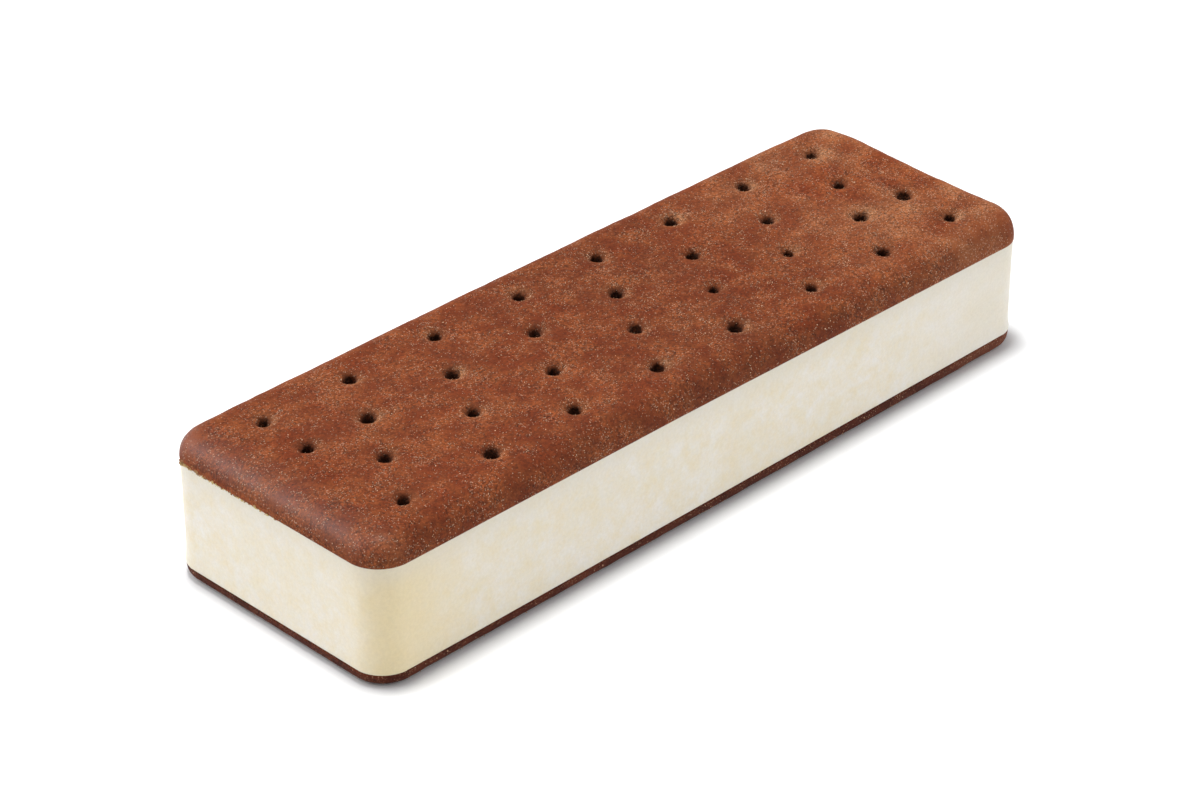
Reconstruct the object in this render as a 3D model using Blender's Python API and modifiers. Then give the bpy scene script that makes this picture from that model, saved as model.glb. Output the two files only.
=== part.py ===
"""Ice cream sandwich: a block of ice cream between two baked chocolate wafers.

Length runs along X, width along Y, +Z is up. The origin is the middle of the
underside, where the sandwich rests. Sizes are in metres.
"""

from math import pi

import bmesh
import bpy
from mathutils import Matrix

# ---- Driving dimensions -------------------------------------------------------

LENGTH = 0.130
WIDTH = 0.0425
CORNER_RADIUS = 0.0052  # corners of the wafers, seen from above

TOP_WAFER = 0.0042  # thickness
BOTTOM_WAFER = 0.0021  # pressed thinner, because it carries the block
FILLING = 0.0164  # from one wafer to the other
SEAM = 0.0003  # gap that neighbouring solids keep
OVERHANG = 0.0003  # how far a wafer stands out past the ice cream

TOP_EDGE_ROUND = 0.0038
BOTTOM_EDGE_ROUND = 0.0016
CORNER_SEGMENTS = 8
EDGE_SEGMENTS = 5

# The docker that pricks the dough has four rows of eight pins.
# Each row is shifted against the one before it by a third of the pin spacing.
PIN_ROWS = 4
PINS_IN_ROW = 8
PIN_SPACING = 0.01575
ROW_SPACING = 0.0092
ROW_SHIFT = PIN_SPACING / 3
OUTER_PIN = 3.5 * PIN_SPACING  # the pin nearest a wafer's end, from its middle
DOCKER_SHIFT_X = 0.00117  # the docker doesn't meet the wafer quite in its middle
DOCKER_SHIFT_Y = -0.00029
HOLE_RADIUS = 0.00100
HOLE_TIP_RADIUS = 0.00075
MOUTH_RADIUS = 0.00145  # where the crust is drawn down round the hole
MOUTH_DEPTH = 0.00045
FLOOR_UNDER_HOLE = 0.0007  # crust that is left below each hole
PIN_SIDES = 12
PIN_OVERSHOOT = 0.001  # how far the cutter stands above the crust

# ---- Scene --------------------------------------------------------------------

for leftover in list(bpy.data.objects):
    bpy.data.objects.remove(leftover, do_unlink=True)


def new_collection(name):
    collection = bpy.data.collections.new(name)
    bpy.context.scene.collection.children.link(collection)
    return collection


parts = new_collection("ice_cream_sandwich")
cutters = new_collection("cutters")


def baked_or_frozen(name, colour, roughness):
    """A Principled BSDF of one plain colour."""
    material = bpy.data.materials.new(name)
    material.use_nodes = True
    shader = material.node_tree.nodes["Principled BSDF"]
    shader.inputs["Base Color"].default_value = (*colour, 1.0)
    shader.inputs["Roughness"].default_value = roughness
    shader.inputs["Metallic"].default_value = 0.0
    return material


chocolate_wafer = baked_or_frozen("chocolate_wafer", (0.25, 0.075, 0.035), 0.75)
vanilla_ice_cream = baked_or_frozen("vanilla_ice_cream", (0.83, 0.76, 0.60), 0.55)


# ---- Shapes -------------------------------------------------------------------


def slab_mesh(name, length, width, thickness, corner_radius, edge_round=0.0):
    """A slab on the plane z = 0 with round corners and, if asked, a round upper edge."""
    mesh = bpy.data.meshes.new(name)
    bm = bmesh.new()
    size = Matrix.Diagonal((length, width, thickness, 1.0))
    lift = Matrix.Translation((0.0, 0.0, thickness / 2))
    bmesh.ops.create_cube(bm, size=1.0, matrix=lift @ size)
    upright = [e for e in bm.edges if abs(e.verts[0].co.z - e.verts[1].co.z) > thickness / 2]
    bmesh.ops.bevel(
        bm,
        geom=upright,
        offset=corner_radius,
        offset_type="OFFSET",
        segments=CORNER_SEGMENTS,
        profile=0.5,
        affect="EDGES",
    )
    if edge_round:
        upper = [e for e in bm.edges if min(v.co.z for v in e.verts) > thickness * 0.999]
        bmesh.ops.bevel(
            bm,
            geom=upper,
            offset=edge_round,
            offset_type="OFFSET",
            segments=EDGE_SEGMENTS,
            profile=0.5,
            affect="EDGES",
        )
    bm.to_mesh(mesh)
    bm.free()
    mesh.shade_smooth()
    mesh.set_sharp_from_angle(angle=pi / 5)
    return mesh


def pin_positions():
    """Centres of the docking holes on the crust. A pin past the last full place moves in to it."""
    first_row_y = (PIN_ROWS - 1) / 2 * ROW_SPACING
    for row in range(PIN_ROWS):
        first_x = -OUTER_PIN - row * ROW_SHIFT
        if first_x < -OUTER_PIN - PIN_SPACING / 2:
            first_x += PIN_SPACING
        for pin in range(PINS_IN_ROW):
            x = max(-OUTER_PIN, first_x + pin * PIN_SPACING) + DOCKER_SHIFT_X
            yield min(OUTER_PIN, x), first_row_y - row * ROW_SPACING + DOCKER_SHIFT_Y


def pin_mesh(name, depth):
    """Half section of a docking pin: a straight shank, a funnel mouth and a tapered tip."""
    section = [
        (0.0, PIN_OVERSHOOT),
        (MOUTH_RADIUS, PIN_OVERSHOOT),
        (MOUTH_RADIUS, 0.0),
        (HOLE_RADIUS, -MOUTH_DEPTH),
        (HOLE_TIP_RADIUS, -depth),
        (0.0, -depth),
    ]
    mesh = bpy.data.meshes.new(name)
    edges = [(i, i + 1) for i in range(len(section) - 1)]
    mesh.from_pydata([(radius, 0.0, z) for radius, z in section], edges, [])
    return mesh


def add_pin(name, mesh, x, y, z, parent):
    """One pin of the docker, turned round its own axis and kept as a cutter."""
    pin = bpy.data.objects.new(name, mesh)
    pin.location = (x, y, z)
    pin.parent = parent
    turn = pin.modifiers.new("turn", "SCREW")
    turn.axis = "Z"
    turn.angle = 2 * pi
    turn.steps = PIN_SIDES
    turn.render_steps = PIN_SIDES
    turn.use_merge_vertices = True
    turn.merge_threshold = 0.00001
    pin.display_type = "WIRE"
    pin.hide_render = True
    return pin


def add_wafer(name, thickness, edge_round, height, upside_down):
    """A baked wafer with its pricked, round-edged crust facing away from the filling."""
    seat = bpy.data.objects.new(name + "_seat", None)
    seat.location = (0.0, 0.0, height)
    seat.rotation_euler = (pi if upside_down else 0.0, 0.0, 0.0)
    parts.objects.link(seat)

    mesh = slab_mesh(name, LENGTH, WIDTH, thickness, CORNER_RADIUS, edge_round)
    mesh.materials.append(chocolate_wafer)
    wafer = bpy.data.objects.new(name, mesh)
    wafer.parent = seat
    parts.objects.link(wafer)

    docker = bpy.data.collections.new(name + "_docker")
    cutters.children.link(docker)
    pin = pin_mesh(name + "_pin", thickness - FLOOR_UNDER_HOLE)
    for number, (x, y) in enumerate(pin_positions()):
        docker.objects.link(add_pin(f"{name}_pin_{number:02d}", pin, x, y, thickness, seat))

    prick = wafer.modifiers.new("prick", "BOOLEAN")
    prick.operation = "DIFFERENCE"
    prick.operand_type = "COLLECTION"
    prick.collection = docker
    prick.solver = "EXACT"
    return wafer


def add_filling(name):
    """The ice cream block: one solid that runs right through between the wafers."""
    mesh = slab_mesh(
        name,
        LENGTH - 2 * OVERHANG,
        WIDTH - 2 * OVERHANG,
        FILLING - 2 * SEAM,
        CORNER_RADIUS - OVERHANG,
    )
    mesh.materials.append(vanilla_ice_cream)
    filling = bpy.data.objects.new(name, mesh)
    filling.location = (0.0, 0.0, BOTTOM_WAFER + SEAM)
    parts.objects.link(filling)
    return filling


# ---- The sandwich, from the bottom up -------------------------------------------

add_wafer("wafer_bottom", BOTTOM_WAFER, BOTTOM_EDGE_ROUND, BOTTOM_WAFER, upside_down=True)
add_filling("ice_cream")
add_wafer("wafer_top", TOP_WAFER, TOP_EDGE_ROUND, BOTTOM_WAFER + FILLING, upside_down=False)
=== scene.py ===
"""The looks of an ice cream sandwich: two pricked chocolate wafers round a block of vanilla ice cream.

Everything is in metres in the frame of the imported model: X along the length, Y across, Z up,
with the origin in the middle of the underside. The sections follow the sandwich from the bottom up.
"""

from math import cos, pi, radians, sin

import bpy
import numpy as np
from mathutils import Matrix, Vector, noise


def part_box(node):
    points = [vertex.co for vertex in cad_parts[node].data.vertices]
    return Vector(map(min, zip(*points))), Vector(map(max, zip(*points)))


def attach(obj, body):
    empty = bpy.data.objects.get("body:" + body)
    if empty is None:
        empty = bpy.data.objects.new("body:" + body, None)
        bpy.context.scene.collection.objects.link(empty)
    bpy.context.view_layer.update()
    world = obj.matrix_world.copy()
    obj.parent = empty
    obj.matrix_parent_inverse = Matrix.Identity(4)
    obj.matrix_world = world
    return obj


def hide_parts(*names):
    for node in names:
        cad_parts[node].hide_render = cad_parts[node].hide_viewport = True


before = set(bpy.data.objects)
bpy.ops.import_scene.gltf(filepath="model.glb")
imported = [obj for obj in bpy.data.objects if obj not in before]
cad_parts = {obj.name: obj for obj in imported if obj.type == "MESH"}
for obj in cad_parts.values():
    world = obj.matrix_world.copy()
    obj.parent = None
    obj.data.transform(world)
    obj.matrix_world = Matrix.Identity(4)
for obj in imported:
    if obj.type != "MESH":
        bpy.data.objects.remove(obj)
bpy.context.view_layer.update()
MM = 0.001


# ---- Wafers ---------------------------------------------------------------------
# Sheets of thin chocolate dough, pricked by a docker with rows of pins, baked, and cut
# with round corners. Each lies on the ice cream with its crust outwards, and its edge
# is rounded over. The crust is matt and dry, with fine crumb and grains of sugar.

WAFER_CORNER = 5.2 * MM
PIN_ROWS = 4
PINS_IN_ROW = 8
PIN_SPACING = 15.75 * MM
ROW_SPACING = 9.2 * MM
ROW_SHIFT = PIN_SPACING / 3
OUTER_PIN = 3.5 * PIN_SPACING  # the pin nearest a wafer's end, from its middle
CELL_X = PIN_SPACING / 54  # the dough's mesh is cut so that each hole is a block of whole cells
CELL_Y = ROW_SPACING / 32
HOLE_CELLS = 3  # half the width of that block
DRAWN_CELLS = 12  # how far round a hole the cells bend to meet it
HOLE_RINGS = 7
DOCKER_SHIFT = (4, -1)  # in cells: the docker doesn't meet the wafer quite in its middle

HOLE_RADIUS = 0.90 * MM
HOLE_TAPER = 0.35  # share of its width that a hole loses towards its floor
FLOOR_UNDER_HOLE = 0.7 * MM
RIM_HIGHLIGHT_SIDE = (0.7, -0.7)  # the side of each hole whose rim is painted paler: a painted highlight, on top of the flour round the rim
LEAN = (0.7, 0.7)  # the way the pins leaned, which tore the holes a little longer along it; it points to the far side, where the holes take more painted shade
TEAR = 0.24
RAGGED = 0.20  # how uneven a hole's wall is, as a share of its radius, and how crumbly
CRUMBLED = 0.055
MOUTH_DEPTH = 0.48  # in mm: how far the crust is drawn down in a steep mouth close to the hole
MOUTH_WIDTH = 0.34  # in hole radii
DISH_DEPTH = 0.46  # the same for the shallow dish about it
DISH_WIDTH = 2.6
LIP_HEIGHT = 0.08  # in mm: how far the crust is pushed up past the dish

CREEP = 0.55 * MM  # how far the holes wander, and over what distance that changes
CREEP_GRAIN = 16 * MM
AS_CUT = 0.25 * MM  # how high over the seam the edge stays as it was cut
LUMPS = [  # grain, height, where they are, and how many finer sizes ride on them
    (13 * MM, 0.50 * MM, "flat", 2),
    (4.2 * MM, 0.16 * MM, "skin", 2),
    (0.8 * MM, 0.07 * MM, "crumbed", 1),
]
DRIFT_GRAIN = 7 * MM  # how far apart the drifts of flour lie
SAG = 0.75 * MM  # how far the top comes down at the far near corner
THICKENING = 0.60 * MM  # how much thicker the lower wafer is pressed at the far end
LOWER_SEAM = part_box("wafer_bottom")[1].z
UPPER_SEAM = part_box("wafer_top")[0].z


def select_only(piece):
    bpy.ops.object.select_all(action="DESELECT")
    piece.select_set(True)
    bpy.context.view_layer.objects.active = piece


def points_of(piece):
    points = np.empty(len(piece.data.vertices) * 3)
    piece.data.vertices.foreach_get("co", points)
    return points.reshape(-1, 3)


def move_points(piece, points):
    piece.data.vertices.foreach_set("co", points.astype(np.float32).ravel())
    piece.data.update()


def face_centres(piece):
    centres = np.empty(len(piece.data.polygons) * 3)
    piece.data.polygons.foreach_get("center", centres)
    return centres.reshape(-1, 3)


def edit_with(piece, faces=None, edges=None):
    """Opens piece in edit mode with only these faces, or these edges, selected."""
    select_only(piece)
    mesh = piece.data
    mode = (False, edges is not None, faces is not None)
    bpy.context.tool_settings.mesh_select_mode = mode
    for elements, chosen in ((mesh.vertices, None), (mesh.edges, edges), (mesh.polygons, faces)):
        flags = np.zeros(len(elements), bool) if chosen is None else np.asarray(chosen, bool)
        elements.foreach_set("select", flags)
    bpy.ops.object.mode_set(mode="EDIT")


def leave_edit():
    bpy.ops.object.mode_set(mode="OBJECT")


def field(points, grain, seed, octaves=1):
    """Smooth noise from about -1 to 1 at each point, with lumps about grain across."""
    offset = Vector((seed * 17.3, seed * 5.9, seed * 11.1))
    values = np.zeros(len(points))
    for octave in range(octaves):
        scale = 2**octave / grain
        share = 0.5**octave
        values += share * np.array([noise.noise(Vector(p) * scale + offset) for p in points])
    return values


def keep_field(piece, name, values):
    attribute = piece.data.attributes.new(name, "FLOAT", "POINT")
    attribute.data.foreach_set("value", values.astype(np.float32))


def read_field(piece, name):
    values = np.empty(len(piece.data.vertices))
    piece.data.attributes[name].data.foreach_get("value", values)
    return values


def pin_positions():
    """Centres of the docking holes. A pin past the last full place moves in to it."""
    found = []
    for row in range(PIN_ROWS):
        first_x = -OUTER_PIN - row * ROW_SHIFT
        if first_x < -OUTER_PIN - PIN_SPACING / 2:
            first_x += PIN_SPACING
        for pin in range(PINS_IN_ROW):
            x = max(-OUTER_PIN, first_x + pin * PIN_SPACING) + DOCKER_SHIFT[0] * CELL_X
            y = ((PIN_ROWS - 1) / 2 - row) * ROW_SPACING + DOCKER_SHIFT[1] * CELL_Y
            found.append((min(OUTER_PIN, x), y))
    return np.array(found)


def roll_out(name, cells_x, cells_y):
    """A flat sheet of dough on z = 0, cut in cells that fit the docker's pins."""
    bpy.ops.object.select_all(action="DESELECT")
    bpy.ops.mesh.primitive_grid_add(
        x_subdivisions=2 * cells_x, y_subdivisions=2 * cells_y, size=1.0, location=(0, 0, 0)
    )
    sheet = bpy.context.object
    sheet.name = name
    sheet.data.name = name
    sheet.scale = (2 * cells_x * CELL_X, 2 * cells_y * CELL_Y, 1.0)
    bpy.ops.object.transform_apply(location=False, rotation=False, scale=True)
    return sheet


def prick(sheet, depth, seed):
    """Pushes the docker's pins in: round tapered holes with a mouth that the crust is drawn into.

    Keeps the painted shade of each point in a hole, how much flour and painted highlight its rim
    takes, and the painted shade on the far side of its dish.
    """
    cell = np.array([CELL_X, CELL_Y])
    pins = pin_positions()
    centres = face_centres(sheet)[:, :2]
    pinned = np.zeros(len(centres), bool)
    for pin in pins:
        pinned |= (np.abs((centres - pin) / cell) < HOLE_CELLS).all(axis=1)
    edit_with(sheet, faces=pinned)
    for _ in range(HOLE_RINGS):
        step = {"value": (0.0, 0.0, -depth / HOLE_RINGS)}
        bpy.ops.mesh.extrude_region_move(TRANSFORM_OT_translate=step)
    leave_edit()

    points = points_of(sheet)
    rim = np.zeros(len(points))
    hollow = np.clip(-points[:, 2] / depth, 0, 1)
    shade = np.zeros(len(points))
    dish_shade = np.zeros(len(points))
    rng = np.random.default_rng(seed)
    for number, pin in enumerate(pins):
        # The block of square cells is bent round, and the cells about it bend to meet it.
        offset = (points[:, :2] - pin) / cell
        reach = np.abs(offset).max(axis=1)
        near = (reach <= DRAWN_CELLS) & (reach > 0)
        square = offset[near] / reach[near][:, None]
        disc = square * np.sqrt(1 - square[:, ::-1] ** 2 / 2)
        blend = np.clip((reach[near] - HOLE_CELLS) / (DRAWN_CELLS - HOLE_CELLS), 0, 1)
        blend = blend * blend * (3 - 2 * blend)
        radius = HOLE_RADIUS * rng.uniform(0.9, 1.1)
        stretch = rng.uniform(-0.08, 0.08, 2)
        ragged = [
            noise.noise(Vector((x * 2.2, y * 2.2, number * 3.7 + seed + 2.5 * deep)))
            for (x, y), deep in zip(disc, hollow[near])
        ]
        ragged = 1 + RAGGED * np.array(ragged) + rng.normal(0, CRUMBLED, len(disc))
        width = radius * ragged * (1 - HOLE_TAPER * hollow[near])
        round_hole = disc * (reach[near] / HOLE_CELLS * width)[:, None] * (1 + stretch)
        round_hole += TEAR * (round_hole @ LEAN)[:, None] * LEAN
        placed = (1 - blend)[:, None] * round_hole + blend[:, None] * offset[near] * cell
        points[near, :2] = pin + placed

        # Distances from here on are in hole radii. On the side that the pin leaned to, the far side,
        # the crust is drawn in a little less, and the hole and its dish are painted darker: painted
        # shade.
        distance = np.linalg.norm(placed, axis=1) / radius
        on_crust = hollow[near] < 1e-6
        away = placed / np.linalg.norm(placed, axis=1)[:, None]
        toward_far_side = away @ LEAN
        drawn_in = rng.uniform(0.75, 1.2)
        past_hole = np.maximum(distance - 1, 0) / MOUTH_WIDTH
        mouth = (MOUTH_DEPTH - 0.10 * toward_far_side) * MM * drawn_in * np.exp(-(past_hole**2))
        dish = (DISH_DEPTH - 0.14 * toward_far_side) * MM * drawn_in * np.exp(-((distance / DISH_WIDTH) ** 3))
        lip = LIP_HEIGHT * MM * np.exp(-(((distance - 2.2) / 0.5) ** 2))
        sunk = np.where(on_crust, mouth + dish - lip, (mouth + dish) * (1 - hollow[near]))
        points[near, 2] -= sunk

        # The rim takes flour all round, and is painted paler on one side: a painted highlight.
        rim_lit = 0.30 + 0.70 * np.clip(away @ RIM_HIGHLIGHT_SIDE, 0, 1)
        around = rim_lit * np.exp(-(((distance - 1.7) / 0.75) ** 2))
        rim[near] = np.maximum(rim[near], np.where(on_crust, around, 0))
        # Painted shade on the far side of the dish, which is turned from the lights.
        far_dish_shade = np.clip(toward_far_side + 0.2, 0, 1) * np.exp(-(((distance - 1.6) / 1.1) ** 2))
        dish_shade[near] = np.maximum(dish_shade[near], far_dish_shade)
        # Painted shade in the hole: darker the deeper a point lies, and darker on the far side.
        sunk_from_crust = sunk + depth * hollow[near]
        shade[near] = np.clip((sunk_from_crust / MM - 0.45 + 0.18 * toward_far_side) / 0.75, 0, 1)
    move_points(sheet, points)
    keep_field(sheet, "hole_shade", shade)
    keep_field(sheet, "hole_rim", rim)
    keep_field(sheet, "painted_dish_shade", dish_shade)


def fold_edge(sheet, length, width, thickness, edge_round):
    """Rounds the sheet's corners and turns its outer band down over the edge, to the seam at z = 0."""
    points = points_of(sheet)
    band = edge_round * pi / 2 + thickness - edge_round
    flat_radius = WAFER_CORNER - edge_round
    corner = flat_radius + band
    inner = np.array([length, width]) / 2 - WAFER_CORNER
    over = np.abs(points[:, :2]) - inner
    share = np.clip(over / over.max(axis=0), 0, 1)
    squared = share * np.sqrt(1 - share[:, ::-1] ** 2 / 2)
    past = squared * corner
    radius = np.linalg.norm(past, axis=1)
    direction = past / np.maximum(radius, 1e-12)[:, None]
    run = np.maximum(radius - flat_radius, 0)
    angle = np.minimum(run / edge_round, pi / 2)
    new_radius = np.minimum(radius, flat_radius) + edge_round * np.sin(angle)
    drop = edge_round * (1 - np.cos(angle)) + np.maximum(run - edge_round * pi / 2, 0)
    outside = radius > 0
    base = np.clip(np.abs(points[:, :2]), 0, inner)
    placed = base + direction * new_radius[:, None]
    sign = np.sign(points[:, :2])
    points[outside, :2] = (sign * placed)[outside]
    points[:, 2] += thickness
    points[outside, 2] -= drop[outside]
    move_points(sheet, points)
    keep_field(sheet, "edge_turn", np.where(outside, np.clip(run / band, 0, 1), 0))


def close_underside(sheet):
    """Closes the open side, where the wafer is frozen to the ice cream, with one flat face."""
    select_only(sheet)
    bpy.ops.object.mode_set(mode="EDIT")
    bpy.context.tool_settings.mesh_select_mode = (False, True, False)
    bpy.ops.mesh.select_all(action="DESELECT")
    bpy.ops.mesh.select_non_manifold()
    bpy.ops.mesh.edge_face_add()
    leave_edit()


def swell(piece, grain, height, group, depth=2):
    """Raises and sinks the skin by up to height in cloudy lumps about grain across."""
    texture = bpy.data.textures.new(f"{piece.name}_lumps", "CLOUDS")
    texture.noise_scale = grain
    texture.noise_depth = depth
    select_only(piece)
    lumps = piece.modifiers.new("lumps", "DISPLACE")
    lumps.texture = texture
    lumps.texture_coords = "LOCAL"
    lumps.strength = height
    lumps.mid_level = 0.5
    lumps.vertex_group = group
    bpy.ops.object.modifier_apply(modifier=lumps.name)


def settle(points):
    """The sandwich isn't quite even: its wafers are not flat, and its far end sags a little."""
    height = points[:, 2] / MM
    along = np.clip((points[:, 0] / MM + 10) / 75, 0, 1)
    across = np.clip((12 - points[:, 1] / MM) / 33, 0, 1)
    points[:, 2] -= SAG * along * across * np.clip((height - 3) / 15, 0, 1)
    thicker = np.clip((points[:, 0] / MM + 45) / 110, 0, 1)
    lower_seam, upper_seam = round(LOWER_SEAM / MM, 1), round(UPPER_SEAM / MM, 1)
    over_table = height / lower_seam
    under_top_wafer = (upper_seam - height) / (upper_seam - lower_seam)
    near_seam = np.clip(np.minimum(over_table, under_top_wafer), 0, 1)
    points[:, 2] += THICKENING * thicker * near_seam


def creep(wafer, length, width, seed):
    """The soft dough creeps sideways after the docker, so the holes wander from their rows."""
    points = points_of(wafer)
    inside = np.clip((np.array([length, width]) / 2 - np.abs(points[:, :2])) / (8 * MM), 0, 1)
    inside = inside.min(axis=1)
    for axis in (0, 1):
        points[:, axis] += CREEP * inside * field(points * (1, 1, 0), CREEP_GRAIN, seed + axis)
    move_points(wafer, points)


def dent(wafer, thickness, dents):
    """Sinks the crust, or raises it, at each (x, y, radius, depth)."""
    points = points_of(wafer)
    high_up = points[:, 2] / thickness
    for x, y, radius, depth in dents:
        away = np.hypot(points[:, 0] - x, points[:, 1] - y) / radius
        points[:, 2] -= depth * np.exp(-(away**2)) * np.clip(high_up, 0, 1)
    move_points(wafer, points)


def bake_lumps(wafer, length, width):
    """Lumps the crust as the oven does. The back and the far end stay smoother.

    Gives back how surely each point is on those two edges, from 0 to 1.
    """
    points = points_of(wafer)
    from_edge = (np.array([length, width]) / 2 - np.abs(points[:, :2])).min(axis=1)
    skin = wafer.vertex_groups.new(name="skin")
    flat = wafer.vertex_groups.new(name="flat")
    crumbed = wafer.vertex_groups.new(name="crumbed")
    above_seam = points[:, 2] > AS_CUT
    far_side = np.maximum(points[:, 1] / 21, points[:, 0] / 65) / MM > 0.75
    far_side = far_side * np.clip(read_field(wafer, "edge_turn") / 0.15, 0, 1)
    skin.add(np.nonzero(above_seam)[0].tolist(), 1.0, "REPLACE")
    crumbed.add(np.nonzero(above_seam & (far_side < 0.5))[0].tolist(), 1.0, "REPLACE")
    for step in range(1, 11):
        reached = above_seam & (from_edge > step * 0.7 * MM)
        flat.add(np.nonzero(reached)[0].tolist(), step / 10, "REPLACE")
    for grain, height, group, depth in LUMPS:
        swell(wafer, grain, height, group, depth)
    return far_side


def brown(wafer, far_side, crust_up, seed):
    """Keeps where the crust is dusted and painted with highlights, pressed smooth, dark or light in
    part by painted shade and highlight, and coarse, for its material.
    """
    points = points_of(wafer)
    x, y = points[:, 0] / MM, points[:, 1] / MM
    edge_turn = read_field(wafer, "edge_turn")
    far_end = np.clip((x - 25) / 45, 0, 1)
    cut_end = np.clip((-x - 58.5) / 3, 0, 1)
    past_corner = np.clip((-y - 13) / 6, 0, 1)

    drifts = np.clip(0.5 + 0.9 * field(points, DRIFT_GRAIN, seed + 5, 2), 0, 1)
    # Flour in drifts and round the holes; the rims are paler on one side, a painted highlight.
    dust_and_highlight = 0.9 * read_field(wafer, "hole_rim") * (0.25 + drifts**2)
    dust_and_highlight += (0.08 + 0.8 * far_end) * drifts
    # Painted highlight: a pale film at the near corner, in place of the sheen round it.
    dust_and_highlight += 0.15 * cut_end * past_corner
    keep_field(wafer, "dust_and_highlight", np.clip(dust_and_highlight, 0, 1))

    # The cut end was pressed smooth over the turn of its edge.
    rising = np.clip((edge_turn - 0.15) / 0.30, 0, 1)
    falling = 1 - np.clip((edge_turn - 0.58) / 0.30, 0, 1)
    polish = cut_end * (0.28 + 0.34 * rising) * falling * (1 - 0.7 * past_corner)
    keep_field(wafer, "polish", polish * float(crust_up))

    # The near long side is painted darker in a band over the turn of its edge, more so towards the far
    # end: painted shade, on the side turned from the lights. The crust is lighter towards the far end,
    # the turned back edge is painted lighter as a painted highlight, and the broken edge over the
    # fringe of crumbs is lighter too.
    # Painted shade on the far side of each hole's dish.
    tone = 1 - 0.20 * read_field(wafer, "painted_dish_shade") - 0.09 * polish
    side_shade = 0.10 + 0.10 * np.clip((x - 5) / 30, 0, 1)
    long_side = np.clip((-y - 14) / 4, 0, 1) * (1 - cut_end)
    tone -= side_shade * long_side * np.exp(-(((edge_turn - 0.62) / 0.22) ** 2))
    # Painted highlight: the turn of the cut end is painted lighter, beside the coat's own sheen.
    tone += 0.13 * cut_end * np.exp(-(((edge_turn - 0.46) / 0.16) ** 2))
    crumbly = cut_end * np.clip((y + 6) / 12, 0, 1)
    tone += 0.30 * crumbly * np.clip((edge_turn - 0.82) / 0.12, 0, 1)
    # Lighter towards the far end, and a painted highlight on the turned back edge.
    tone += 0.15 * far_end + 0.12 * far_side
    tone -= 0.03 * cut_end * past_corner
    tone -= 0.10 * np.exp(-(((x - 4) / 16) ** 2))
    keep_field(wafer, "bake_tone", tone)
    keep_field(wafer, "coarseness", 1 - 0.7 * far_side)


def bake_wafer(name, node, edge_round, crust_up, seed, dents):
    """One wafer in the place of its CAD node. Dents are (x, y, radius, depth) on its crust."""
    low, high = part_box(node)
    length, width, thickness = high - low
    band = edge_round * pi / 2 + thickness - edge_round
    cells_x = round((length / 2 - edge_round + band) / CELL_X)
    cells_y = round((width / 2 - edge_round + band) / CELL_Y)
    wafer = roll_out(name, cells_x, cells_y)
    prick(wafer, thickness - FLOOR_UNDER_HOLE, seed)
    creep(wafer, length, width, seed)
    fold_edge(wafer, length, width, thickness, edge_round)
    dent(wafer, thickness, dents)
    close_underside(wafer)
    far_side = bake_lumps(wafer, length, width)
    brown(wafer, far_side, crust_up, seed)

    turn = Matrix.Identity(4) if crust_up else Matrix.Rotation(pi, 4, "X")
    seam_height = low.z if crust_up else high.z
    wafer.data.transform(Matrix.Translation((0, 0, seam_height)) @ turn)
    points = points_of(wafer)
    points[:, 2] = np.maximum(points[:, 2], 0)
    settle(points)
    move_points(wafer, points)
    select_only(wafer)
    bpy.ops.object.shade_smooth()
    areas = [face.area for face in wafer.data.polygons]
    wafer.data.polygons[int(np.argmax(areas))].use_smooth = False
    return wafer


def linear(colour):
    """A hex colour as the linear red, green, blue and alpha that a shader takes."""
    channels = [int(colour[i : i + 2], 16) / 255 for i in (1, 3, 5)]
    bent = [c / 12.92 if c <= 0.04045 else ((c + 0.055) / 1.055) ** 2.4 for c in channels]
    return (*bent, 1.0)


def add_node(tree, kind, inputs=None, output=0, **settings):
    """A node with its settings. An input is a plain value, or an output socket to link.

    Gives back the output socket of that number, or the node itself for None.
    """
    made = tree.nodes.new(kind)
    for name, value in settings.items():
        setattr(made, name, value)
    for key, value in (inputs or {}).items():
        if isinstance(value, bpy.types.NodeSocket):
            tree.links.new(value, made.inputs[key])
        else:
            made.inputs[key].default_value = value
    return made if output is None else made.outputs[output]


MIX_COLOUR = {"data_type": "RGBA", "output": 2}


def empty_material(name):
    material = bpy.data.materials.new(name)
    material.use_nodes = True
    material.node_tree.nodes.clear()
    return material


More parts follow.
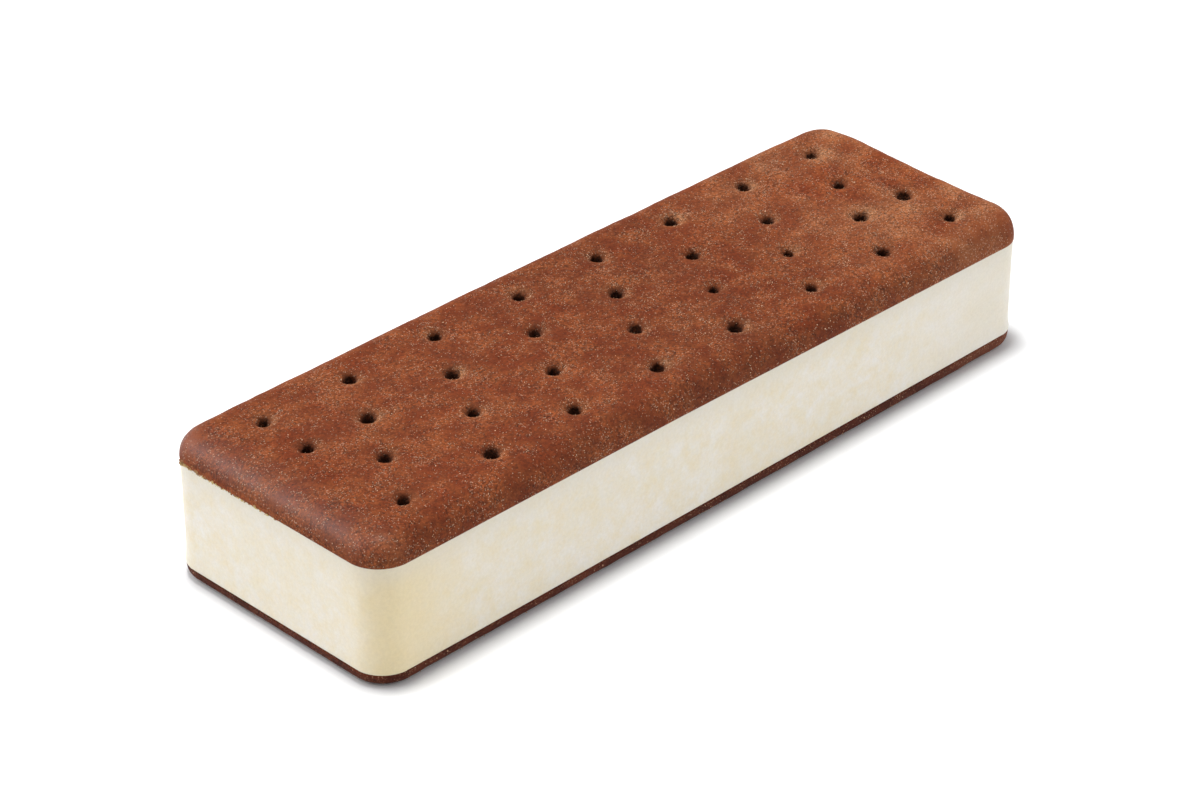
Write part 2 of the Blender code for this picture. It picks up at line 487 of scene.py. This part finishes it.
def baked_chocolate_crust(name, dark, mid, pale, flour, sugar_grain, inside):
    """Baked cocoa dough: matt, dry and crumbed, blotched by uneven heat, dusted with fine sugar."""
    material = empty_material(name)
    tree = material.node_tree
    place = add_node(tree, "ShaderNodeTexCoord", output=3)

    # Slow blotches where the oven was hotter, and cloudier mottles where flour stayed on.
    blotch = add_node(
        tree,
        "ShaderNodeTexNoise",
        {"Vector": place, "Scale": 1 / (10 * MM), "Detail": 4.0, "Roughness": 0.6, "Distortion": 0.4},
    )
    blotch = add_node(
        tree, "ShaderNodeMapRange", {"Value": blotch, "From Min": 0.36, "From Max": 0.66}
    )
    mottle = add_node(
        tree,
        "ShaderNodeTexNoise",
        {"Vector": place, "Scale": 1 / (3.5 * MM), "Detail": 5.0, "Roughness": 0.62},
    )
    mottle = add_node(
        tree,
        "ShaderNodeMapRange",
        {"Value": mottle, "From Min": 0.40, "From Max": 0.72, "To Max": 0.7},
    )
    colour = add_node(
        tree, "ShaderNodeMix", {0: blotch, 6: linear(dark), 7: linear(mid)}, **MIX_COLOUR
    )
    colour = add_node(tree, "ShaderNodeMix", {0: mottle, 6: colour, 7: linear(pale)}, **MIX_COLOUR)

    # A thin film of flour that stayed on, in drifts. The same pale film paints the highlight on one
    # side of each hole's rim and at the near corner.
    drift = add_node(
        tree,
        "ShaderNodeTexNoise",
        {"Vector": place, "Scale": 1 / (3.6 * MM), "Detail": 4.0, "Roughness": 0.65},
    )
    dust_and_highlight = add_node(tree, "ShaderNodeAttribute", output=2, attribute_name="dust_and_highlight")
    film = add_node(tree, "ShaderNodeMath", {0: dust_and_highlight, 1: drift}, operation="MULTIPLY")
    film = add_node(tree, "ShaderNodeMath", {0: film, 1: 0.9}, operation="MULTIPLY")
    colour = add_node(tree, "ShaderNodeMix", {0: film, 6: colour, 7: linear(flour)}, **MIX_COLOUR)

    # Single grains of crumb, each a little lighter or darker than the next. Real ones are
    # finer still, and are drawn this coarse so that they show.
    grain = add_node(
        tree, "ShaderNodeTexVoronoi", {"Vector": place, "Scale": 1 / (0.26 * MM)}, output=None
    )
    grain_tone = add_node(
        tree, "ShaderNodeSeparateColor", {"Color": grain.outputs["Color"]}, output=None
    )
    crumb = add_node(
        tree,
        "ShaderNodeTexNoise",
        {"Vector": place, "Scale": 1 / (0.30 * MM), "Detail": 3.0, "Roughness": 0.7},
    )
    tone = add_node(
        tree,
        "ShaderNodeMapRange",
        {"Value": grain_tone.outputs["Red"], "To Min": 0.55, "To Max": 1.45},
    )
    soft_tone = add_node(
        tree,
        "ShaderNodeMapRange",
        {"Value": crumb, "From Min": 0.3, "From Max": 0.7, "To Min": 0.75, "To Max": 1.25},
    )
    tone = add_node(tree, "ShaderNodeMath", {0: tone, 1: soft_tone}, operation="MULTIPLY")
    sandy = add_node(
        tree,
        "ShaderNodeMapRange",
        {"Value": drift, "From Min": 0.40, "From Max": 0.64, "To Min": 0.55, "To Max": 1.25},
    )
    coarseness = add_node(tree, "ShaderNodeAttribute", output=2, attribute_name="coarseness")
    sandy = add_node(tree, "ShaderNodeMath", {0: sandy, 1: coarseness}, operation="MULTIPLY")
    tone = add_node(tree, "ShaderNodeMath", {0: tone, 1: 1.0}, operation="SUBTRACT")
    tone = add_node(
        tree, "ShaderNodeMath", {0: tone, 1: sandy, 2: 1.0}, operation="MULTIPLY_ADD"
    )
    bake = add_node(tree, "ShaderNodeAttribute", output=2, attribute_name="bake_tone")
    tone = add_node(tree, "ShaderNodeMath", {0: tone, 1: bake}, operation="MULTIPLY")
    colour = add_node(
        tree,
        "ShaderNodeMix",
        {0: 1.0, 6: colour, 7: tone},
        blend_type="MULTIPLY",
        **MIX_COLOUR,
    )

    # Fine sugar: small pale grains in drifts, thickest round the pricked holes and on the rims'
    # painted highlight.
    likely = add_node(
        tree,
        "ShaderNodeMapRange",
        {"Value": drift, "From Min": 0.40, "From Max": 0.70, "To Min": 0.04, "To Max": 0.60},
    )
    likely = add_node(
        tree, "ShaderNodeMath", {0: dust_and_highlight, 1: 0.55, 2: likely}, operation="MULTIPLY_ADD"
    )
    sugar = add_node(
        tree, "ShaderNodeTexVoronoi", {"Vector": place, "Scale": 1 / (0.21 * MM)}, output=None
    )
    pick = add_node(
        tree, "ShaderNodeSeparateColor", {"Color": sugar.outputs["Color"]}, output=None
    )
    sugar_here = add_node(
        tree, "ShaderNodeMath", {0: pick.outputs["Red"], 1: likely}, operation="LESS_THAN"
    )
    sugar_size = add_node(
        tree,
        "ShaderNodeMapRange",
        {"Value": sugar.outputs["Distance"], "From Min": 0.50, "From Max": 0.30},
    )
    sugar_share = add_node(
        tree, "ShaderNodeMath", {0: sugar_here, 1: sugar_size}, operation="MULTIPLY"
    )
    brightness = add_node(
        tree, "ShaderNodeMath", {0: pick.outputs["Green"], 1: 2.0}, operation="POWER"
    )
    brightness = add_node(
        tree, "ShaderNodeMapRange", {"Value": brightness, "To Min": 0.08, "To Max": 0.55}
    )
    sugar_share = add_node(
        tree, "ShaderNodeMath", {0: sugar_share, 1: brightness}, operation="MULTIPLY"
    )
    colour = add_node(
        tree, "ShaderNodeMix", {0: sugar_share, 6: colour, 7: linear(sugar_grain)}, **MIX_COLOUR
    )

    # Pores: little burst bubbles, and many finer ones, with painted shade inside.
    pore = add_node(
        tree, "ShaderNodeTexVoronoi", {"Vector": place, "Scale": 1 / (1.1 * MM)}, output=None
    )
    pore_pick = add_node(
        tree, "ShaderNodeSeparateColor", {"Color": pore.outputs["Color"]}, output=2
    )
    pore_here = add_node(tree, "ShaderNodeMath", {0: pore_pick, 1: 0.25}, operation="LESS_THAN")
    pore_size = add_node(
        tree,
        "ShaderNodeMapRange",
        {"Value": pore.outputs["Distance"], "From Min": 0.19, "From Max": 0.07, "To Max": 0.65},
    )
    pore_share = add_node(
        tree, "ShaderNodeMath", {0: pore_size, 1: pore_here}, operation="MULTIPLY"
    )
    pinprick = add_node(
        tree,
        "ShaderNodeMapRange",
        {"Value": grain_tone.outputs["Blue"], "From Min": 0.93, "From Max": 0.96, "To Max": 0.35},
    )
    pore_share = add_node(tree, "ShaderNodeMath", {0: pore_share, 1: pinprick}, operation="MAXIMUM")
    colour = add_node(
        tree, "ShaderNodeMix", {0: pore_share, 6: colour, 7: linear(inside)}, **MIX_COLOUR
    )

    # Inside the holes: painted shade, darker the deeper a point lies and on the far wall, broken up by
    # the crumb.
    shade = add_node(tree, "ShaderNodeAttribute", output=2, attribute_name="hole_shade")
    patchy = add_node(
        tree,
        "ShaderNodeMapRange",
        {"Value": grain_tone.outputs["Green"], "To Min": 0.45, "To Max": 1.35},
    )
    shade = add_node(
        tree, "ShaderNodeMath", {0: shade, 1: patchy}, operation="MULTIPLY", use_clamp=True
    )
    colour = add_node(tree, "ShaderNodeMix", {0: shade, 6: colour, 7: linear(inside)}, **MIX_COLOUR)

    # The rounded end was pressed smooth, so it takes a soft sheen that the dry top doesn't.
    polish = add_node(tree, "ShaderNodeAttribute", output=2, attribute_name="polish")
    worn = add_node(
        tree,
        "ShaderNodeMapRange",
        {"Value": mottle, "From Max": 0.7, "To Min": 1.0, "To Max": 0.7},
    )
    polish = add_node(tree, "ShaderNodeMath", {0: polish, 1: worn}, operation="MULTIPLY")
    relief = add_node(
        tree,
        "ShaderNodeMath",
        {0: grain.outputs["Distance"], 1: -0.5, 2: crumb},
        operation="MULTIPLY_ADD",
    )
    relief = add_node(tree, "ShaderNodeMath", {0: relief, 1: sugar_share}, operation="ADD")
    relief = add_node(tree, "ShaderNodeMath", {0: relief, 1: pore_share}, operation="SUBTRACT")
    bump = add_node(
        tree, "ShaderNodeBump", {"Height": relief, "Strength": 1.0, "Distance": 0.12 * MM}
    )
    shader = add_node(
        tree,
        "ShaderNodeBsdfPrincipled",
        {"Base Color": colour, "Roughness": 0.75, "Normal": bump, "Coat Weight": polish},
        output=None,
    )
    shader.inputs["IOR"].default_value = 1.45
    shader.inputs["Specular IOR Level"].default_value = 0.16
    shader.inputs["Coat Roughness"].default_value = 0.45
    shader.inputs["Coat IOR"].default_value = 1.6
    add_node(
        tree, "ShaderNodeOutputMaterial", {"Surface": shader.outputs["BSDF"]}, output=None
    )
    return material


# The inside colour is painted shade, for the holes and the pores.
TOP_CRUST = baked_chocolate_crust(
    "baked_chocolate_crust",
    dark="#662c13",
    mid="#6e2f14",
    pale="#8b4c27",
    flour="#aa7750",
    sugar_grain="#e8c4a6",
    inside="#341c11",
)
# The lower wafer's crust is a darker copy of the top one: painted shade, as its edge lies turned from
# the lights. Its inside colour paints the shade in its holes and pores.
LOWER_CRUST = baked_chocolate_crust(
    "shaded_chocolate_crust",
    dark="#3a170d",
    mid="#4a1e12",
    pale="#62301e",
    flour="#7d4a34",
    sugar_grain="#c0906f",
    inside="#100603",
)

wafer_bottom = bake_wafer(
    "bottom_wafer_baked",
    "wafer_bottom",
    edge_round=1.6 * MM,
    crust_up=False,
    seed=7,
    dents=[],
)
wafer_bottom.data.materials.append(LOWER_CRUST)
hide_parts("wafer_bottom")
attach(wafer_bottom, "root")


# ---- Ice cream ------------------------------------------------------------------
# A slab of vanilla ice cream, extruded between the wafers and cut flush with them.
# It is whipped full of air, so light sinks in: warm cream with soft yellower patches, a darker frosty
# tint of painted shade under the top wafer, and painted shade at the near corner.

ICE_CORNER = 4.9 * MM
ICE_CORNER_STEPS = 14
ICE_CELL = 0.32 * MM
FLUSH = 0.15 * MM  # the slab swells out past its CAD node, towards the wafers' edges
FLARE = 0.1275 * MM  # and a little more at the lower one
FLARE_REACH = 1.2 * MM
SINK = 0.05 * MM  # how far it goes into each wafer
SHADE_ALONG = 13 * MM  # how far from the near corner its painted shade reaches
SHADE_ACROSS = 4.5 * MM
FROST_REACH = 2.6 * MM
MILK = "#e7e2da"
CREAM = "#e3dccd"
YELLOW_CREAM = "#e3d6b9"
SHADED_CREAM = "#e2d0a4"
FROST_AND_SHADE = "#d8d1c3"


def edge_runs(piece):
    """How far each edge of piece goes along X, Y and Z."""
    points = points_of(piece)
    ends = np.empty(len(piece.data.edges) * 2, int)
    piece.data.edges.foreach_get("vertices", ends)
    return points[ends[1::2]] - points[ends[::2]]


def cut_edges(piece, direction, longer_than, cuts):
    """Divides every edge of piece that runs along direction and is longer than this."""
    run = edge_runs(piece)
    length = np.linalg.norm(run, axis=1)
    along = np.abs(run @ np.array(direction)) > 0.999 * length
    edit_with(piece, edges=along & (length > longer_than))
    bpy.ops.mesh.subdivide(number_cuts=cuts)
    leave_edit()


def freeze_block(name):
    """The slab in the place of its CAD node, but right up to both wafers."""
    low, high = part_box("ice_cream")
    height = UPPER_SEAM - LOWER_SEAM + 2 * SINK
    middle_z = (LOWER_SEAM + UPPER_SEAM) / 2
    bpy.ops.object.select_all(action="DESELECT")
    bpy.ops.mesh.primitive_cube_add(size=1.0, location=(0, 0, middle_z))
    block = bpy.context.object
    block.name = name
    block.data.name = name
    block.scale = (high.x - low.x + 2 * FLUSH, high.y - low.y + 2 * FLUSH, height)
    bpy.ops.object.transform_apply(location=True, rotation=False, scale=True)
    edit_with(block, edges=np.abs(edge_runs(block)[:, 2]) > height / 2)
    bpy.ops.mesh.bevel(
        offset=ICE_CORNER, offset_type="OFFSET", segments=ICE_CORNER_STEPS, profile=0.5
    )
    leave_edit()
    cut_edges(block, (1, 0, 0), 20 * MM, round((high.x - low.x - 2 * ICE_CORNER) / ICE_CELL))
    cut_edges(block, (0, 1, 0), 20 * MM, round((high.y - low.y - 2 * ICE_CORNER) / ICE_CELL))
    cut_edges(block, (0, 0, 1), 5 * MM, round(height / ICE_CELL))

    points = points_of(block)
    skin = block.vertex_groups.new(name="skin")
    between = np.abs(points[:, 2] - middle_z) < height / 2 - 0.4 * MM
    skin.add(np.nonzero(between)[0].tolist(), 1.0, "REPLACE")
    swell(block, 9 * MM, 0.20 * MM, "skin")
    swell(block, 1.6 * MM, 0.07 * MM, "skin")

    points = points_of(block)
    # Painted shade at the near corner, darker and yellower.
    away = (points[:, :2] - (low.x, low.y)) / (SHADE_ALONG, SHADE_ACROSS)
    keep_field(block, "shaded_corner", 0.85 * np.exp(-(away**2).sum(axis=1)))
    # Painted shade under the overhanging top wafer, in a frosty tint.
    under_wafer = UPPER_SEAM - points[:, 2]
    frost_and_shade = 0.6 * np.exp(-((np.clip(under_wafer, 0, None) / FROST_REACH) ** 2))
    keep_field(block, "frost_and_shade", frost_and_shade)
    keep_field(block, "yellowed", 1 - 0.7 * np.clip((points[:, 0] / MM - 30) / 25, 0, 1))
    low_down = np.exp(-(((points[:, 2] - LOWER_SEAM) / FLARE_REACH) ** 2))
    points[:, :2] *= 1 + FLARE * low_down[:, None] / np.array([high.x, high.y])
    settle(points)
    move_points(block, points)
    select_only(block)
    bpy.ops.object.shade_smooth_by_angle(angle=radians(50))
    return block


def frozen_vanilla(name):
    """Vanilla ice cream: dense fine foam of milk fat and ice, soft and faintly translucent."""
    material = empty_material(name)
    tree = material.node_tree
    place = add_node(tree, "ShaderNodeTexCoord", output=3)
    patch = add_node(
        tree,
        "ShaderNodeTexNoise",
        {"Vector": place, "Scale": 1 / (9 * MM), "Detail": 4.0, "Roughness": 0.55},
    )
    patch = add_node(
        tree, "ShaderNodeMapRange", {"Value": patch, "From Min": 0.35, "From Max": 0.7}
    )
    colour = add_node(
        tree, "ShaderNodeMix", {0: patch, 6: linear(MILK), 7: linear(CREAM)}, **MIX_COLOUR
    )
    fleck = add_node(
        tree,
        "ShaderNodeTexNoise",
        {"Vector": place, "Scale": 1 / (2.2 * MM), "Detail": 6.0, "Roughness": 0.72},
    )
    fleck = add_node(
        tree,
        "ShaderNodeMapRange",
        {"Value": fleck, "From Min": 0.38, "From Max": 0.72, "To Max": 0.95},
    )
    yellowed = add_node(tree, "ShaderNodeAttribute", output=2, attribute_name="yellowed")
    fleck = add_node(tree, "ShaderNodeMath", {0: fleck, 1: yellowed}, operation="MULTIPLY")
    # These are painted shade: at the near corner, and, with a frosty tint, under the top wafer.
    warm = add_node(tree, "ShaderNodeAttribute", output=2, attribute_name="shaded_corner")
    frost_and_shade = add_node(tree, "ShaderNodeAttribute", output=2, attribute_name="frost_and_shade")
    for share, tint in ((fleck, YELLOW_CREAM), (warm, SHADED_CREAM), (frost_and_shade, FROST_AND_SHADE)):
        colour = add_node(
            tree, "ShaderNodeMix", {0: share, 6: colour, 7: linear(tint)}, **MIX_COLOUR
        )
    grain = add_node(
        tree,
        "ShaderNodeTexNoise",
        {"Vector": place, "Scale": 1 / (0.45 * MM), "Detail": 4.0, "Roughness": 0.65},
    )
    light_and_dark = add_node(
        tree,
        "ShaderNodeMapRange",
        {"Value": grain, "From Min": 0.3, "From Max": 0.7, "To Min": 0.95, "To Max": 1.03},
    )
    colour = add_node(
        tree,
        "ShaderNodeMix",
        {0: 1.0, 6: colour, 7: light_and_dark},
        blend_type="MULTIPLY",
        **MIX_COLOUR,
    )
    bump = add_node(
        tree, "ShaderNodeBump", {"Height": grain, "Strength": 0.5, "Distance": 0.05 * MM}
    )
    shader = add_node(
        tree,
        "ShaderNodeBsdfPrincipled",
        {"Base Color": colour, "Roughness": 0.55, "Normal": bump},
        output=None,
    )
    shader.inputs["IOR"].default_value = 1.33
    shader.inputs["Subsurface Weight"].default_value = 0.25
    shader.inputs["Subsurface Radius"].default_value = (1.0, 0.75, 0.5)
    shader.inputs["Subsurface Scale"].default_value = 1.0 * MM
    shader.inputs["Specular IOR Level"].default_value = 0.3
    add_node(
        tree, "ShaderNodeOutputMaterial", {"Surface": shader.outputs["BSDF"]}, output=None
    )
    return material


ice_cream = freeze_block("ice_cream_block")
ice_cream.data.materials.append(frozen_vanilla("frozen_vanilla"))
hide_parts("ice_cream")
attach(ice_cream, "root")


# ---- Top wafer ------------------------------------------------------------------
# The same dough, thicker, with its crust up. It sagged a little at its cut end in baking,
# and rose in places at the far one.

TOP_DENTS = [  # x, y, radius and depth of each; a negative depth is a rise
    (67 * MM, 12 * MM, 7 * MM, -0.90 * MM),
    (67 * MM, 0 * MM, 8 * MM, -0.35 * MM),
    (67 * MM, -17 * MM, 9 * MM, -0.55 * MM),
    (60 * MM, 22 * MM, 5 * MM, 0.30 * MM),
    (-45 * MM, 21 * MM, 18 * MM, 0.30 * MM),
    (-66 * MM, 0 * MM, 9 * MM, 0.70 * MM),
    (-66 * MM, 18 * MM, 9 * MM, 0.70 * MM),
    (-66 * MM, -16 * MM, 9 * MM, 0.55 * MM),
]
wafer_top = bake_wafer(
    "top_wafer_baked",
    "wafer_top",
    edge_round=3.8 * MM,
    crust_up=True,
    seed=3,
    dents=TOP_DENTS,
)
wafer_top.data.materials.append(TOP_CRUST)
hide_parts("wafer_top")
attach(wafer_top, "root")


# ---- Sugar grains ---------------------------------------------------------------
# Coarser grains of sugar that stuck to the dough: they lie in drifts on the crust, round
# the holes and on the lower wafer's sides, and show as tiny warm white specks.

GRAIN_SHAPES = 12
GRAIN_SIZE = 0.08 * MM  # the middle one of the sizes, which vary by about this share
GRAIN_VARIETY = 0.35
GRAINS_ON_TOP = 7500
GRAINS_ON_SIDES = 900


def rough_lumps(seed):
    """The corners and faces of some twenty-sided lumps, each about 1 across."""
    bpy.ops.object.select_all(action="DESELECT")
    bpy.ops.mesh.primitive_ico_sphere_add(subdivisions=1, radius=0.5, location=(0, 0, 0))
    ball = bpy.context.object
    corners = points_of(ball)
    faces = np.array([face.vertices[:] for face in ball.data.polygons])
    bpy.data.objects.remove(ball)
    rng = np.random.default_rng(seed)
    shapes = []
    for _ in range(GRAIN_SHAPES):
        lump = corners * rng.uniform(0.7, 1.25, (len(corners), 1)) * rng.uniform(0.65, 1.2, 3)
        shapes.append(lump)
    return np.array(shapes), faces


def skin_faces(piece):
    """Centres, normals and areas of the faces of piece."""
    mesh = piece.data
    centres = face_centres(piece)
    normals = np.empty(len(mesh.polygons) * 3)
    mesh.polygons.foreach_get("normal", normals)
    areas = np.empty(len(mesh.polygons))
    mesh.polygons.foreach_get("area", areas)
    return centres, normals.reshape(-1, 3), areas


def scatter(name, places, sizes, seed):
    """One mesh of lumps, turned every way, at these places and of these widths."""
    shapes, faces = rough_lumps(seed)
    rng = np.random.default_rng(seed + 1)
    shape = shapes[rng.integers(0, GRAIN_SHAPES, len(places))]
    turns = rng.normal(size=(len(places), 4))
    turns /= np.linalg.norm(turns, axis=1)[:, None]
    w, v = turns[:, :1, None], turns[:, None, 1:]
    across = np.cross(np.broadcast_to(v, shape.shape), shape)
    turned = shape + 2 * (w * across + np.cross(np.broadcast_to(v, shape.shape), across))
    corners = (turned * sizes[:, None, None] + places[:, None, :]).reshape(-1, 3)
    step = np.arange(len(places))[:, None, None] * shapes.shape[1]
    triangles = (faces[None] + step).reshape(-1, 3)
    mesh = bpy.data.meshes.new(name)
    mesh.from_pydata(corners.tolist(), [], triangles.tolist())
    mesh.update()
    made = bpy.data.objects.new(name, mesh)
    bpy.context.scene.collection.objects.link(made)
    return made


def dust_with_sugar(name, host, likely, count, seed):
    """Grains on the faces of host, the more the larger and the likelier a face is."""
    centres, normals, areas = skin_faces(host)
    chance = areas * likely
    rng = np.random.default_rng(seed)
    chosen = rng.choice(len(areas), count, p=chance / chance.sum())
    sizes = GRAIN_SIZE * np.exp(rng.normal(0, GRAIN_VARIETY, count))
    places = centres[chosen] + rng.uniform(-0.13, 0.13, (count, 3)) * MM
    places += normals[chosen] * (sizes * 0.2)[:, None]
    return scatter(name, places, sizes, seed)


def sugar_crystal(name):
    """Sugar: clear grains that look warm white on the brown crust."""
    material = empty_material(name)
    tree = material.node_tree
    place = add_node(tree, "ShaderNodeTexCoord", output=3)
    tone = add_node(tree, "ShaderNodeTexNoise", {"Vector": place, "Scale": 1 / (0.4 * MM)})
    tone = add_node(tree, "ShaderNodeMapRange", {"Value": tone, "From Min": 0.35, "From Max": 0.65})
    colour = add_node(
        tree, "ShaderNodeMix", {0: tone, 6: linear("#a86c46"), 7: linear("#f0cba8")}, **MIX_COLOUR
    )
    shader = add_node(tree, "ShaderNodeBsdfPrincipled", {"Base Color": colour}, output=None)
    shader.inputs["Roughness"].default_value = 0.45
    shader.inputs["Specular IOR Level"].default_value = 0.25
    add_node(
        tree, "ShaderNodeOutputMaterial", {"Surface": shader.outputs["BSDF"]}, output=None
    )
    return material


def face_values(piece, attribute):
    first = np.array([face.vertices[0] for face in piece.data.polygons])
    return read_field(piece, attribute)[first]


SUGAR = sugar_crystal("sugar_crystal")

centres, normals, areas = skin_faces(wafer_top)
open_crust = (face_values(wafer_top, "hole_shade") < 0.1) & (areas < 1e-6)
open_crust &= (normals[:, 2] > 0.75) | (normals[:, 1] < -0.3)
open_crust &= face_values(wafer_top, "coarseness") > 0.9
drifts = np.clip(field(centres, 5 * MM, 31, 3), 0, 1) ** 1.5
clumps = np.clip(field(centres, 1.3 * MM, 32), 0, 1)
# Round the holes the grains follow the rims, so they heap on the side painted as highlight.
rims = face_values(wafer_top, "hole_rim")
far_end = np.clip((centres[:, 0] / MM + 10) / 60, 0, 1)
likely = 0.015 + 2.2 * drifts * clumps * (0.5 + far_end) + 1.6 * rims * (0.10 + clumps)
likely *= 0.25 + 0.75 * np.clip((centres[:, 0] / MM + 62) / 20, 0, 1)
likely *= open_crust
sugar_top = dust_with_sugar("sugar_on_top_wafer", wafer_top, likely, GRAINS_ON_TOP, 41)
sugar_top.data.materials.append(SUGAR)
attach(sugar_top, "root")

centres, normals, areas = skin_faces(wafer_bottom)
sides = (np.abs(normals[:, 2]) < 0.9) & (areas < 1e-6) & (centres[:, 2] > 0.3 * MM)
sides &= np.abs(centres[:, 1]) > 15 * MM
likely = 0.1 + np.clip(field(centres, 4 * MM, 33, 2), 0, 1)
likely *= sides
sugar_bottom = dust_with_sugar("sugar_on_bottom_wafer", wafer_bottom, likely, GRAINS_ON_SIDES, 43)
sugar_bottom.data.materials.append(SUGAR)
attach(sugar_bottom, "root")


# ---- Crumbs at the cut end ------------------------------------------------------
# Where the end was cut, the lower edge of the top wafer broke into crumbs. They cling
# to the ice cream in a ragged brown fringe, with a few yellowish flour grains.

FRINGE_CRUMBS = 700
FRINGE_FROM = -4  # in mm across: the fringe runs from here to the back corner
FRINGE_WIDTH = 22
CRUMB_SIZE = 0.28 * MM
CRUMB_VARIETY = 0.35


def wafer_crumb(name):
    """Broken crumb: the dry inside of the wafer, from brown to a floury olive yellow."""
    material = empty_material(name)
    tree = material.node_tree
    place = add_node(tree, "ShaderNodeTexCoord", output=3)
    tone = add_node(tree, "ShaderNodeTexNoise", {"Vector": place, "Scale": 1 / (0.7 * MM)})
    tone = add_node(tree, "ShaderNodeMapRange", {"Value": tone, "From Min": 0.38, "From Max": 0.56})
    height = add_node(tree, "ShaderNodeSeparateXYZ", {"Vector": place}, output=2)
    low_down = add_node(
        tree,
        "ShaderNodeMapRange",
        {"Value": height, "From Min": UPPER_SEAM + 0.4 * MM, "From Max": UPPER_SEAM},
    )
    tone = add_node(tree, "ShaderNodeMath", {0: tone, 1: low_down}, operation="MULTIPLY")
    colour = add_node(
        tree, "ShaderNodeMix", {0: tone, 6: linear("#8a5a34"), 7: linear("#c4ad72")}, **MIX_COLOUR
    )
    shader = add_node(tree, "ShaderNodeBsdfPrincipled", {"Base Color": colour}, output=None)
    shader.inputs["Roughness"].default_value = 0.8
    add_node(
        tree, "ShaderNodeOutputMaterial", {"Surface": shader.outputs["BSDF"]}, output=None
    )
    return material


rng = np.random.default_rng(51)
end_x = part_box("ice_cream")[0].x - FLUSH
back = rng.beta(1.7, 0.9, FRINGE_CRUMBS)
fringe = np.column_stack(
    [
        end_x + rng.uniform(-0.04, 0.10, FRINGE_CRUMBS) * MM,
        (FRINGE_FROM + FRINGE_WIDTH * back) * MM,
        UPPER_SEAM + rng.normal(0.08, 0.20, FRINGE_CRUMBS) * MM,
    ]
)
crumb_sizes = CRUMB_SIZE * np.exp(rng.normal(0, CRUMB_VARIETY, FRINGE_CRUMBS))
crumbs = scatter("fringe_crumbs", fringe, crumb_sizes, 52)
crumbs.data.materials.append(wafer_crumb("wafer_crumb"))
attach(crumbs, "root")


# ---- Table, light and camera ----------------------------------------------------
# A matt white table a hair under the sandwich, and plain studio light: a small softbox
# overhead for the short soft shadow, a wide one behind and a broad weak one to the right.

bpy.ops.object.select_all(action="DESELECT")
bpy.ops.mesh.primitive_plane_add(size=6.0, location=(0, 0, -0.02 * MM))
table = bpy.context.object
table.name = "table"
pale = empty_material("pale_table")
table_shader = add_node(
    pale.node_tree,
    "ShaderNodeBsdfPrincipled",
    {"Base Color": (0.94, 0.95, 0.96, 1.0), "Roughness": 0.8},
    output=None,
)
table_shader.inputs["Specular IOR Level"].default_value = 0.2
add_node(
    pale.node_tree, "ShaderNodeOutputMaterial", {"Surface": table_shader.outputs["BSDF"]}, output=None
)
table.data.materials.append(pale)


def softbox(name, direction, distance, width, height, strength):
    """An area light. Strength is how white a white sheet facing it looks: 1 is full white."""
    data = bpy.data.lights.new(name, "AREA")
    data.shape = "RECTANGLE"
    data.size = width
    data.size_y = height
    data.energy = strength * (pi * distance) ** 2
    light = bpy.data.objects.new(name, data)
    bpy.context.scene.collection.objects.link(light)
    back = Vector(direction).normalized()
    light.location = back * distance
    light.rotation_mode = "QUATERNION"
    light.rotation_quaternion = (-back).to_track_quat("-Z", "Y")
    return light


softbox("overhead_softbox", (-0.02, 0.07, 1.0), 1.0, 0.20, 0.20, 0.76)
softbox("back_strip_softbox", (-0.45, 0.67, 0.60), 1.0, 1.1, 0.55, 0.52)
softbox("right_softbox", (0.80, -0.60, 0.35), 1.2, 0.8, 0.8, 0.27)

world = bpy.data.worlds.new("studio")
world.use_nodes = True
world.node_tree.nodes["Background"].inputs["Color"].default_value = (1.0, 1.0, 1.0, 1.0)
world.node_tree.nodes["Background"].inputs["Strength"].default_value = 0.42
bpy.context.scene.world = world
bpy.context.scene.view_settings.view_transform = "Standard"

CAMERA_AZIMUTH = -45.16
CAMERA_ELEVATION = 31.11
CAMERA_DISTANCE = 0.511
CAMERA_TARGET = Vector((-0.0041, -0.0004, 0.0100))
azimuth, elevation = radians(CAMERA_AZIMUTH), radians(CAMERA_ELEVATION)
towards_camera = Vector(
    (sin(azimuth) * cos(elevation), -cos(azimuth) * cos(elevation), sin(elevation))
)
camera_data = bpy.data.cameras.new("camera")
camera_data.lens = 108.5
camera_data.sensor_width = 36.0
camera_data.clip_start = 0.01
camera = bpy.data.objects.new("camera", camera_data)
camera.location = CAMERA_TARGET + towards_camera * CAMERA_DISTANCE
camera.rotation_mode = "QUATERNION"
camera.rotation_quaternion = (-towards_camera).to_track_quat("-Z", "Y")
bpy.context.scene.collection.objects.link(camera)
bpy.context.scene.camera = camera
